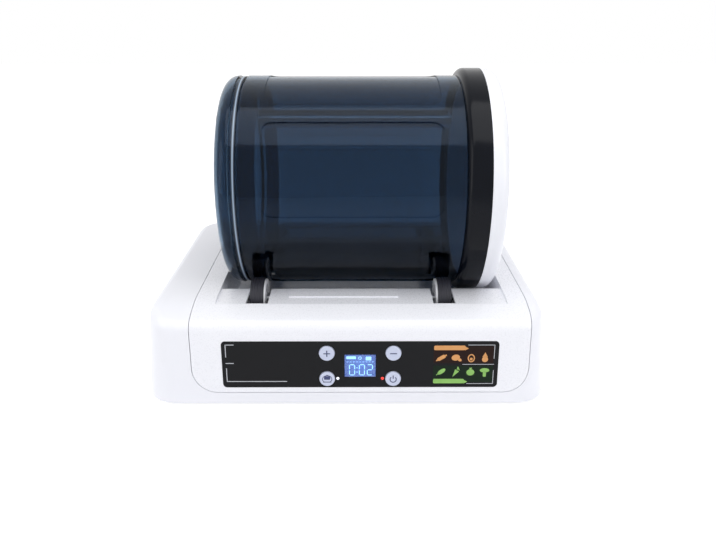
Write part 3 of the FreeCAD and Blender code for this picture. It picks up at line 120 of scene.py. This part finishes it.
# ---------------------------------------------------------------- console cover
# The inner moulding that carries the panel and the cradle. It is the same ABS, a shade brighter,
# screwed from below, so a fine dark line is left all round it.
console_abs = moulded("White ABS, console moulding", "#f0f1f8", "#f5f6fb", 0.28, 70, 1.2, 0.002, {"IOR": 1.53})
shell("console_cover", console_abs)


# ---------------------------------------------------------------- tray, feet and case screws
# The bottom tray is matt white ABS from a spark-eroded tool, the feet are soft black rubber rods
# glued in their seats, and ten zinc-plated screws hold tray, housing and console together.
tray_abs = moulded("White ABS, matt moulded", "#dfe0e6", "#e8e9ee", 0.55, 60, 0.9, 0.03, {"IOR": 1.53})
foot_rubber = moulded("Black rubber, moulded", "#17171c", "#212127", 0.72, 9, 0.6, 0.05, {"IOR": 1.52})
zinc_plate = moulded("Zinc-plated steel", "#9a9ca3", "#b9bbc2", 0.34, 3, 0.35, 0.01, {"Metallic": 1.0})
dress(tray_abs, "base_tray")
dress(foot_rubber, "rubber_feet")
dress(zinc_plate, "case_screws", "bearing_screws", "motor_screws")


# ---------------------------------------------------------------- drum barrel and end cap
# Tube and cap in smoke-blue polycarbonate, the cap's spigot pushed into the tube. The six let-in
# windows are polished clear, and the frames round them keep a satin skin that scatters more light.
axis = Vector((0.0, 0.0, 0.173))
smoke = bpy.data.materials.new("Smoke polycarbonate, polished windows")
smoke.use_nodes = True
smoke.node_tree.nodes.clear()
place = add(smoke, "TexCoord", {}, {}).outputs["Object"]
offset = add(smoke, "VectorMath", {"operation": "SUBTRACT"}, {0: place, 1: axis})
across = add(smoke, "VectorMath", {"operation": "MULTIPLY"}, {0: offset.outputs[0], 1: (0, 1, 1)})
radius = add(smoke, "VectorMath", {"operation": "LENGTH"}, {0: across.outputs[0]})
frame_skin = add(smoke, "MapRange", {}, {
    "Value": radius.outputs["Value"], "From Min": 100.1 * MM, "From Max": 100.6 * MM})
haze = add(smoke, "TexNoise", {}, {"Vector": place, "Scale": 1 / (45 * MM), "Detail": 2})
clear_tone = add(smoke, "Mix", {"data_type": "RGBA"}, {
    0: haze.outputs["Fac"], 6: colour("#485e73"), 7: colour("#4e657b")})
skin_tone = add(smoke, "Mix", {"data_type": "RGBA"}, {
    0: frame_skin.outputs["Result"], 6: clear_tone.outputs[2], 7: colour("#5a7188")})
skin_gloss = add(smoke, "MapRange", {}, {
    "Value": frame_skin.outputs["Result"], "To Min": 0.02, "To Max": 0.1})
body = add(smoke, "BsdfPrincipled", {}, {
    "Base Color": skin_tone.outputs[2], "Roughness": skin_gloss.outputs["Result"],
    "IOR": 1.32, "Transmission Weight": 1.0, "Specular Tint": colour("#b9cbe4")})
add(smoke, "OutputMaterial", {}, {"Surface": body.outputs["BSDF"]})
shell("drum_barrel", smoke, "drum")
shell("drum_end_cap", smoke, "drum")


# ---------------------------------------------------------------- seam ring
# A thin ring of milky polypropylene clamped between cap and tube. Only the middle line of its face stands in
# the light,
# and that light is painted: a pale painted highlight there and painted shade to either side, so the seam shows
# as a pale line between two dark ones.
seam_pp = bpy.data.materials.new("Milky polypropylene, painted_highlight_and_shade")
seam_pp.use_nodes = True
seam_pp.node_tree.nodes.clear()
place = add(seam_pp, "TexCoord", {}, {}).outputs["Object"]
along = add(seam_pp, "SeparateXYZ", {}, {"Vector": place})
from_highlight_line = add(seam_pp, "Math", {"operation": "ADD"}, {0: along.outputs["X"], 1: 97 * MM})
from_highlight_line = add(seam_pp, "Math", {"operation": "ABSOLUTE"}, {0: from_highlight_line.outputs[0]})
# Within 0.3 mm of the middle line the ring is the pale painted highlight #8fa3b8; beyond 0.9 mm it is painted
# shade #1d2838.
painted_highlight = add(seam_pp, "MapRange", {}, {
    "Value": from_highlight_line.outputs[0], "From Min": 0.3 * MM, "From Max": 0.9 * MM})
tone = add(seam_pp, "Mix", {"data_type": "RGBA"}, {
    0: painted_highlight.outputs["Result"], 6: colour("#8fa3b8"), 7: colour("#1d2838")})
body = add(seam_pp, "BsdfPrincipled", {}, {"Base Color": tone.outputs[2], "Roughness": 0.3, "IOR": 1.49})
add(seam_pp, "OutputMaterial", {}, {"Surface": body.outputs["BSDF"]})
dress(seam_pp, "end_cap_ring")


# ---------------------------------------------------------------- mouth collar
# A thick glossy black ABS collar welded on the tube's end. Its polish gives long sharp highlights.
collar_abs = moulded("Black ABS, high gloss", "#04070f", "#070b15", 0.16, 40, 10, 0.001, {
    "IOR": 1.53, "Specular IOR Level": 0.12})
shell("mouth_collar", collar_abs, "drum")


# ---------------------------------------------------------------- lid, its seal and valve
# The lid is white ABS turned on by four lugs, with a moulded grip bar. Its seal is white silicone,
# and the vacuum valve is a soft silicone plug under a grey acetal knob that is pulled to let air in.
lid_abs = moulded("White ABS, lid moulding", "#eceef5", "#f2f3f9", 0.3, 60, 1.0, 0.002, {"IOR": 1.53})
seal_silicone = moulded("White silicone", "#d5d7dc", "#e2e4e8", 0.5, 12, 0.8, 0.02, {
    "IOR": 1.41, "Subsurface Weight": 0.15, "Subsurface Radius": (0.004, 0.004, 0.004)})
knob_acetal = moulded("Grey acetal, satin", "#4b525d", "#565d69", 0.38, 8, 0.7, 0.015, {"IOR": 1.48})
shell("drum_lid", lid_abs, "lid")
dress(seal_silicone, "lid_seal", "valve_plug")
dress(knob_acetal, "valve_knob")


# ---------------------------------------------------------------- rollers and bearings
# Black rubber treads stretched on white acetal hubs, pressed on ground steel shafts that run in
# natural acetal blocks under the cradle.
tread_rubber = moulded("Black rubber, ribbed tread", "#1c1c26", "#292934", 0.62, 7, 0.5, 0.05, {"IOR": 1.52})
hub_acetal = moulded("White acetal, moulded", "#e3e4ea", "#edeef2", 0.34, 10, 1.2, 0.01, {"IOR": 1.48})
block_acetal = moulded("Natural acetal, moulded", "#d2cebf", "#dcd8ca", 0.45, 12, 0.8, 0.02, {"IOR": 1.48})
ENDS = ("front_left", "front_right", "rear_left", "rear_right")
dress(tread_rubber, *(end + "_tread" for end in ENDS))
dress(hub_acetal, *(end + "_hub" for end in ENDS), "driven_pulley", "drive_pulley")
dress(block_acetal, *(end + "_bearing" for end in ENDS), "board_standoffs")

# Ground steel: fine rings left by the wheel run round the shaft, so highlights stretch along it.
ground_steel = bpy.data.materials.new("Ground steel")
ground_steel.use_nodes = True
ground_steel.node_tree.nodes.clear()
place = add(ground_steel, "TexCoord", {}, {}).outputs["Object"]
rings = add(ground_steel, "Mapping", {}, {"Vector": place, "Scale": (1 / (0.4 * MM), 12, 12)})
marks = add(ground_steel, "TexNoise", {}, {"Vector": rings.outputs["Vector"], "Scale": 1, "Detail": 2})
tone = add(ground_steel, "Mix", {"data_type": "RGBA"}, {
    0: marks.outputs["Fac"], 6: colour("#a3a5a9"), 7: colour("#c2c4c8")})
gloss = add(ground_steel, "MapRange", {}, {"Value": marks.outputs["Fac"], "To Min": 0.2, "To Max": 0.38})
body = add(ground_steel, "BsdfPrincipled", {}, {
    "Base Color": tone.outputs[2], "Roughness": gloss.outputs["Result"], "Metallic": 1.0})
add(ground_steel, "OutputMaterial", {}, {"Surface": body.outputs["BSDF"]})
dress(ground_steel, "front_roller_shaft", "rear_roller_shaft", "motor_shaft")


# ---------------------------------------------------------------- drive
# A geared motor in a plated steel can, screwed to a zinc-plated bracket, turns the rear shaft
# through a round polyurethane belt.
belt_pu = moulded("Polyurethane belt", "#2a2c31", "#34363c", 0.4, 15, 0.6, 0.02, {"IOR": 1.5})
plated_can = moulded("Plated sheet steel", "#8f9298", "#aaadb3", 0.3, 14, 0.5, 0.008, {"Metallic": 1.0})
dress(belt_pu, "drive_belt")
dress(plated_can, "gear_motor", "motor_bracket", "pump_motor")


# ---------------------------------------------------------------- vacuum pump, hose and port
# A black nylon diaphragm pump rests on a moulded cradle. Milky silicone hose takes its suction to
# a black nipple in a round recess at the back.
pump_nylon = moulded("Black nylon, moulded", "#141519", "#1e1f24", 0.5, 14, 0.7, 0.03, {"IOR": 1.53})
hose_silicone = moulded("Milky silicone hose", "#c4c9cd", "#d6dade", 0.36, 15, 1.5, 0.01, {"IOR": 1.41})
dress(pump_nylon, "vacuum_pump", "pump_mount", "suction_port", "power_inlet")
dress(hose_silicone, "suction_hose")


# ---------------------------------------------------------------- control label
# A gloss black polycarbonate film stuck in a shallow recess, with marks printed on it. The film is
# mirror smooth, with a slight orange-peel ripple from its glue.
label_film = moulded("Black film, gloss", "#08090d", "#0b0c11", 0.14, 30, 9, 0.001, {
    "IOR": 1.58, "Specular IOR Level": 0.12})
dress(label_film, "control_label")

PANEL = (Matrix.Translation((12.5 * MM, -137.343 * MM, 41 * MM))
         @ Matrix.Rotation(math.radians(-4), 4, "X") @ Matrix.Scale(MM, 4))
PRINT_FACE = -0.1
LAYER = 0.03


def flat_mark(kind, spot, wide, high, turn=0.0, extra=0.0):
    """One flat mark in the panel's own frame, in millimetres, facing out. extra is a ring's width."""
    if kind == "bar":
        bpy.ops.mesh.primitive_plane_add(size=1)
    elif kind == "wedge":
        bpy.ops.mesh.primitive_circle_add(vertices=3, radius=0.6, fill_type="NGON")
    else:
        bpy.ops.mesh.primitive_circle_add(vertices=36, radius=0.5, fill_type="NGON")
    mark = bpy.context.object
    mark.scale = (wide, high, 1)
    bpy.ops.object.transform_apply(location=False, rotation=False, scale=True)
    bpy.ops.object.mode_set(mode="EDIT")
    bpy.ops.mesh.select_all(action="SELECT")
    if kind in ("ring", "arc"):
        bpy.ops.mesh.inset(thickness=extra)
        bpy.ops.mesh.delete(type="FACE")
    if kind == "bar" and extra:
        bpy.ops.mesh.bevel(offset=extra, segments=4, affect="VERTICES")
    bpy.ops.object.mode_set(mode="OBJECT")
    if kind == "arc":
        # an arc is a ring that is open over a quarter at its top
        bpy.ops.object.mode_set(mode="EDIT")
        bpy.ops.mesh.select_all(action="DESELECT")
        bpy.ops.object.mode_set(mode="OBJECT")
        for face in mark.data.polygons:
            face.select = face.center.y > abs(face.center.x) * 1.2
        bpy.ops.object.mode_set(mode="EDIT")
        bpy.ops.mesh.delete(type="FACE")
        bpy.ops.object.mode_set(mode="OBJECT")
    mark.data.transform(Matrix.Translation((spot[0], 0, spot[1]))
                        @ Matrix.Rotation(math.radians(-turn), 4, "Y")
                        @ Matrix.Rotation(math.radians(90), 4, "X"))
    return mark


def lay_marks(name, marks, face, body, material, thick=LAYER):
    """Joins marks, gives them an ink's thickness outwards from face, and puts them on the panel."""
    bpy.ops.object.select_all(action="DESELECT")
    made = [flat_mark(*mark) for mark in marks]
    bpy.ops.object.select_all(action="DESELECT")
    for mark in made:
        mark.select_set(True)
    bpy.context.view_layer.objects.active = made[0]
    if len(made) > 1:
        bpy.ops.object.join()
    piece = bpy.context.object
    piece.name = name
    piece.data.name = name
    solid = piece.modifiers.new("ink", "SOLIDIFY")
    solid.thickness = thick
    solid.offset = 1
    bpy.ops.object.modifier_apply(modifier="ink")
    piece.data.transform(PANEL @ Matrix.Translation((0, face, 0)))
    piece.data.materials.append(material)
    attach(piece, body)
    return piece


grey_ink = moulded("Light grey screen ink", "#b9bcc4", "#c7cad1", 0.4, 10, 0.4, 0.004)
lay_marks("label_lines", [
    ("bar", (-118.8, 13.2), 0.7, 12.2), ("bar", (-115.2, 19.0), 7.9, 0.7),
    ("bar", (-115.6, 1.2), 7.2, 0.7), ("bar", (-118.8, -9.9), 0.7, 12.6),
    ("bar", (-92.2, -16.5), 53.8, 0.7), ("bar", (107.0, 18.7), 23.6, 0.5),
    ("bar", (118.6, 12.2), 0.5, 13.4), ("bar", (104.8, 0.0), 28.0, 0.45),
    ("bar", (107.0, -18.9), 23.6, 0.5), ("bar", (118.6, -12.4), 0.5, 13.4)],
    PRINT_FACE, "base", grey_ink)

# Two dim panes of colour lie under the marks for the two programmes, and their marks are brighter.
warm_ground = moulded("Dark warm screen ink", "#1c0d0a", "#26120e", 0.3, 12, 0.4, 0.001, {
    "Specular IOR Level": 0.12})
green_ground = moulded("Dark green screen ink", "#0b1a10", "#102415", 0.3, 12, 0.4, 0.001, {
    "Specular IOR Level": 0.12})
lay_marks("label_warm_ground", [("bar", (91.5, 9.4), 53.2, 16.4, 0, 1.0)],
          PRINT_FACE, "base", warm_ground, 0.012)
lay_marks("label_green_ground", [("bar", (91.5, -9.4), 53.2, 16.4, 0, 1.0)],
          PRINT_FACE, "base", green_ground, 0.012)

# Plain food signs: a sausage, a steak, an egg and a drop above; a leaf, a carrot, a tomato and a
# mushroom below.
orange_ink = moulded("Orange screen ink", "#d08f52", "#dda060", 0.4, 8, 0.4, 0.004)
green_ink = moulded("Green screen ink", "#7fb455", "#90c466", 0.4, 8, 0.4, 0.004)
lay_marks("label_warm_signs", [
    ("bar", (79.0, 16.0), 27.6, 4.4, 0, 1.2), ("wedge", (93.6, 15.4), 3.6, 3.6, 30),
    ("bar", (72.0, 6.4), 8.2, 3.4, 32, 1.6), ("disc", (68.0, 3.9), 1.5, 1.5), ("disc", (76.0, 8.9), 1.5, 1.5),
    ("disc", (84.6, 6.6), 7.4, 5.8, 12), ("disc", (88.2, 4.4), 3.6, 2.8, -30),
    ("ring", (98.4, 6.0), 6.4, 7.8, 0, 1.0), ("disc", (98.4, 5.2), 2.6, 2.6),
    ("disc", (110.6, 4.9), 5.4, 5.4), ("wedge", (110.6, 8.6), 4.6, 5.2, 0)],
    PRINT_FACE - 0.012, "base", orange_ink)
lay_marks("label_green_signs", [
    ("bar", (79.0, -16.4), 27.6, 4.4, 0, 1.2), ("wedge", (93.6, -17.0), 3.6, 3.6, 30),
    ("disc", (72.4, -7.0), 8.4, 3.8, 38), ("bar", (68.9, -9.7), 2.6, 0.7, 38),
    ("wedge", (85.0, -8.0), 4.0, 8.4, 148), ("bar", (87.6, -4.2), 0.8, 3.4, 20),
    ("bar", (86.6, -3.8), 0.8, 3.0, -14), ("disc", (98.2, -7.8), 7.0, 6.2),
    ("wedge", (98.2, -4.2), 3.0, 2.4, 60), ("disc", (110.8, -5.8), 8.4, 4.2),
    ("bar", (110.8, -9.6), 2.8, 5.0, 0, 0.8)],
    PRINT_FACE - 0.012, "base", green_ink)


# ---------------------------------------------------------------- display
# A backlit blue liquid-crystal module stands behind a clear acrylic window let into the label.
# Its segments are the only lit marks; the light falls off towards the corners, as edge light does.
pane = moulded("Clear acrylic", "#f0f5ff", "#f6f9ff", 0.02, 20, 8, 0.001, {
    "IOR": 1.49, "Transmission Weight": 1.0})
dress(pane, "display_window")

backlight = bpy.data.materials.new("Blue backlit display")
backlight.use_nodes = True
backlight.node_tree.nodes.clear()
place = add(backlight, "TexCoord", {}, {}).outputs["Object"]
middle = Vector((12.5, -138.6, 39.7)) * MM
offset = add(backlight, "VectorMath", {"operation": "SUBTRACT"}, {0: place, 1: middle})
away = add(backlight, "VectorMath", {"operation": "LENGTH"}, {0: offset.outputs[0]})
fall = add(backlight, "MapRange", {}, {"Value": away.outputs["Value"], "From Max": 17 * MM})
tone = add(backlight, "Mix", {"data_type": "RGBA"}, {
    0: fall.outputs["Result"], 6: colour("#3478dc"), 7: colour("#1f56b0")})
body = add(backlight, "BsdfPrincipled", {}, {
    "Base Color": colour("#0a1a3a"), "Roughness": 0.3, "Emission Color": tone.outputs[2],
    "Emission Strength": 0.9})
add(backlight, "OutputMaterial", {}, {"Surface": body.outputs["BSDF"]})
dress(backlight, "display_module")

lit = moulded("Lit segment", "#9fdcff", "#a9e2ff", 0.4, 8, 0.5, 0.001, {
    "Emission Color": colour("#9fdcff"), "Emission Strength": 0.85})
DIGIT = {"a": (0, 5.0, 0), "b": (2.3, 2.6, 1), "c": (2.3, -2.6, 1), "d": (0, -5.0, 0),
         "e": (-2.3, -2.6, 1), "f": (-2.3, 2.6, 1), "g": (0, 0, 0)}
segments = []
for middle_x, shown in ((-7.2, "abcdef"), (1.6, "abcdef"), (8.6, "abged")):
    for letter in shown:
        shift, rise, upright = DIGIT[letter]
        segments.append(("bar", (middle_x + shift, rise - 5.6), 0.8 if upright else 3.6,
                         4.2 if upright else 0.8, 0, 0.3))
segments += [("disc", (-2.8, -3.6), 1.0, 1.0), ("disc", (-2.8, -7.8), 1.0, 1.0),
             ("bar", (-8.0, 6.2), 8.4, 2.6, 0, 0.5), ("bar", (7.4, 5.4), 5.0, 3.6, 0, 0.5),
             ("ring", (-0.2, 5.8), 3.0, 3.0, 0, 0.5)]
segments += [("bar", (-11.2 + 2.8 * step, 2.1), 1.7, 0.35) for step in range(9)]
lay_marks("display_segments", segments, 1.28, "base", lit, 0.04)


# ---------------------------------------------------------------- buttons and lights
# Four round caps moulded in silver-white ABS, each with a sunk sign filled with dark blue ink.
# Beside the lower pair, light pipes in clear acrylic show white on the left and red on the right.
cap_abs = moulded("Silver-white ABS, satin", "#bcc3da", "#c9cfe4", 0.3, 6, 0.5, 0.006, {
    "IOR": 1.53, "Metallic": 0.15})
BUTTONS = ("plus_button", "minus_button", "vacuum_button", "power_button")
dress(cap_abs, *BUTTONS)
blue_ink = moulded("Dark blue ink", "#2a3360", "#333c6c", 0.4, 5, 0.4, 0.003)
COLUMN = 29.4
SIGNS = {
    "plus_button": [("bar", (-COLUMN, 11.2), 6.0, 1.0), ("bar", (-COLUMN, 11.2), 1.0, 6.0)],
    "minus_button": [("bar", (COLUMN, 11.2), 6.0, 1.0)],
    "vacuum_button": [("bar", (-COLUMN, -12.4), 5.6, 3.4, 0, 0.8), ("bar", (-COLUMN, -16.4), 7.4, 0.8, 0, 0.3),
                      ("bar", (-COLUMN, -9.9), 2.0, 0.8), ("arc", (-COLUMN, -13.6), 9.0, 7.6, 180, 0.6)],
    "power_button": [("arc", (COLUMN, -13.9), 6.4, 6.4, 0, 0.9), ("bar", (COLUMN, -11.6), 0.9, 3.2)],
}
for button, marks in SIGNS.items():
    lay_marks(button.replace("button", "sign"), marks, -1.7, button, blue_ink)

light_pipe = bpy.data.materials.new("Lit acrylic light pipe")
light_pipe.use_nodes = True
light_pipe.node_tree.nodes.clear()
place = add(light_pipe, "TexCoord", {}, {}).outputs["Object"]
side = add(light_pipe, "SeparateXYZ", {}, {"Vector": place})
right = add(light_pipe, "Math", {"operation": "GREATER_THAN"}, {0: side.outputs["X"], 1: 12.5 * MM})
tone = add(light_pipe, "Mix", {"data_type": "RGBA"}, {
    0: right.outputs[0], 6: colour("#eef2ff"), 7: colour("#ff3b30")})
body = add(light_pipe, "BsdfPrincipled", {}, {
    "Base Color": tone.outputs[2], "Roughness": 0.25, "Emission Color": tone.outputs[2],
    "Emission Strength": 0.7})
add(light_pipe, "OutputMaterial", {}, {"Surface": body.outputs["BSDF"]})
dress(light_pipe, "status_lights")


# ---------------------------------------------------------------- boards
# Glass-epoxy boards under green solder mask, where copper tracks show as a slightly paler green,
# with black switches and parts soldered on them.
mask = moulded("Green solder mask", "#12402a", "#1c5a3b", 0.3, 3.2, 1.0, 0.02, {"IOR": 1.55})
epoxy = moulded("Black moulded epoxy", "#131317", "#202025", 0.45, 7, 0.5, 0.02, {"IOR": 1.55})
dress(mask, "display_board", "main_board")
dress(epoxy, "tact_switches", "board_components")


# ---------------------------------------------------------------- floor, light and camera
# A white table under a large soft box above the front, with paler fill from both sides.
bpy.ops.mesh.primitive_plane_add(size=6)
floor = bpy.context.object
floor.name = "studio_floor"
paper = bpy.data.materials.new("White paper sweep")
paper.use_nodes = True
paper.node_tree.nodes.clear()
place = add(paper, "TexCoord", {}, {}).outputs["Object"]
fibre = add(paper, "TexNoise", {}, {"Vector": place, "Scale": 400, "Detail": 2})
relief = add(paper, "Bump", {}, {"Height": fibre.outputs["Fac"], "Strength": 0.1, "Distance": 0.0001})
matt = add(paper, "BsdfDiffuse", {}, {"Color": colour("#f2f2f4"), "Normal": relief.outputs["Normal"]})
rays = add(paper, "LightPath", {}, {})
seen = add(paper, "Math", {"operation": "MAXIMUM"}, {
    0: rays.outputs["Is Camera Ray"], 1: rays.outputs["Is Transmission Ray"]})
seen = add(paper, "Math", {"operation": "MAXIMUM"}, {0: seen.outputs[0], 1: rays.outputs["Is Glossy Ray"]})
lift = add(paper, "Math", {"operation": "MULTIPLY"}, {0: seen.outputs[0], 1: 0.62})
glow = add(paper, "Emission", {}, {"Color": (1, 1, 1, 1), "Strength": lift.outputs[0]})
both = add(paper, "AddShader", {}, {0: matt.outputs[0], 1: glow.outputs[0]})
add(paper, "OutputMaterial", {}, {"Surface": both.outputs[0]})
floor.data.materials.append(paper)

world = bpy.data.worlds.new("White studio")
bpy.context.scene.world = world
world.use_nodes = True
world.node_tree.nodes.clear()
rays = add(world, "LightPath", {}, {})
seen = add(world, "Math", {"operation": "MAXIMUM"}, {
    0: rays.outputs["Is Camera Ray"], 1: rays.outputs["Is Transmission Ray"]})
seen = add(world, "Math", {"operation": "MAXIMUM"}, {0: seen.outputs[0], 1: rays.outputs["Is Glossy Ray"]})
level = add(world, "MapRange", {}, {"Value": seen.outputs[0], "To Min": 0.56, "To Max": 1.0})
air = add(world, "Background", {}, {"Color": colour("#ffffff"), "Strength": level.outputs["Result"]})
add(world, "OutputWorld", {}, {"Surface": air.outputs[0]})


def soft_light(name, spot, size, watts, aim=(0.0, 0.0, 0.1)):
    """A rectangular soft box that faces its aim."""
    data = bpy.data.lights.new(name, "AREA")
    data.shape = "RECTANGLE"
    data.size, data.size_y = size
    data.energy = watts
    lamp = bpy.data.objects.new(name, data)
    lamp.location = spot
    lamp.rotation_euler = (Vector(aim) - Vector(spot)).to_track_quat("-Z", "Y").to_euler()
    bpy.context.scene.collection.objects.link(lamp)


soft_light("top_softbox", (0.0, -0.35, 1.25), (1.2, 0.9), 7.4)
soft_light("left_softbox", (-1.1, -0.6, 0.55), (0.6, 1.0), 3.0)
soft_light("right_softbox", (1.1, -0.7, 0.5), (0.35, 0.9), 3.0)

camera_data = bpy.data.cameras.new("camera")
camera_data.lens = 34.8
camera_data.sensor_width = 36
camera = bpy.data.objects.new("camera", camera_data)
camera.location = (0.0089, -0.6758, 0.3483)
camera.rotation_euler = (math.radians(90 - 21.94), 0, math.radians(-0.18))
bpy.context.scene.collection.objects.link(camera)
bpy.context.scene.camera = camera
bpy.context.scene.view_settings.view_transform = "Standard"
